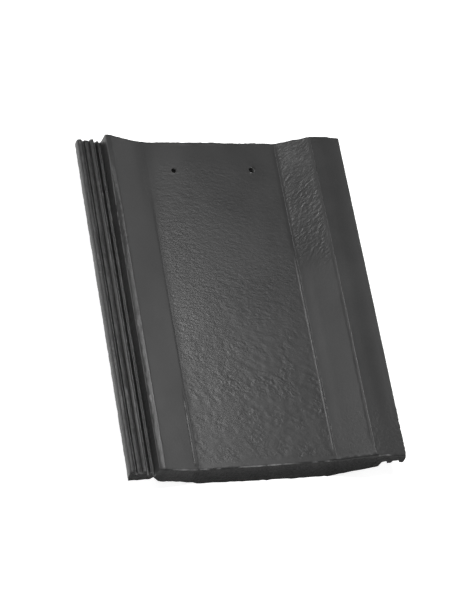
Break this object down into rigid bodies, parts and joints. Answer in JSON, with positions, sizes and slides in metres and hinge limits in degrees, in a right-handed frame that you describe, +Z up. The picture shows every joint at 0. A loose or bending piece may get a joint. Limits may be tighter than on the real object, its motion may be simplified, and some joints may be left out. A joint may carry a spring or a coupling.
{
  "type": "interlocking roof tile",
  "caption": "Large trough-shaped interlocking roof tile in dark grey concrete, with a ribbed side lock, a covering crest, nail holes, a raked tail and nibs that hook over a batten.",
  "frame": {"origin": "centre of the tile's outline, on the floor it lies on", "axes": "+Y along the tile to its head, +X across to the crest, +Z up from the floor"},
  "size_m": [0.33, 0.42, 0.0416],
  "materials": {
    "concrete": "satin coated concrete, smooth on the slopes and finely rippled in the pan, bare and rough on the cut ends"
  },
  "bodies": {
    "root": {"tile": "concrete"}
  },
  "joints": []
}
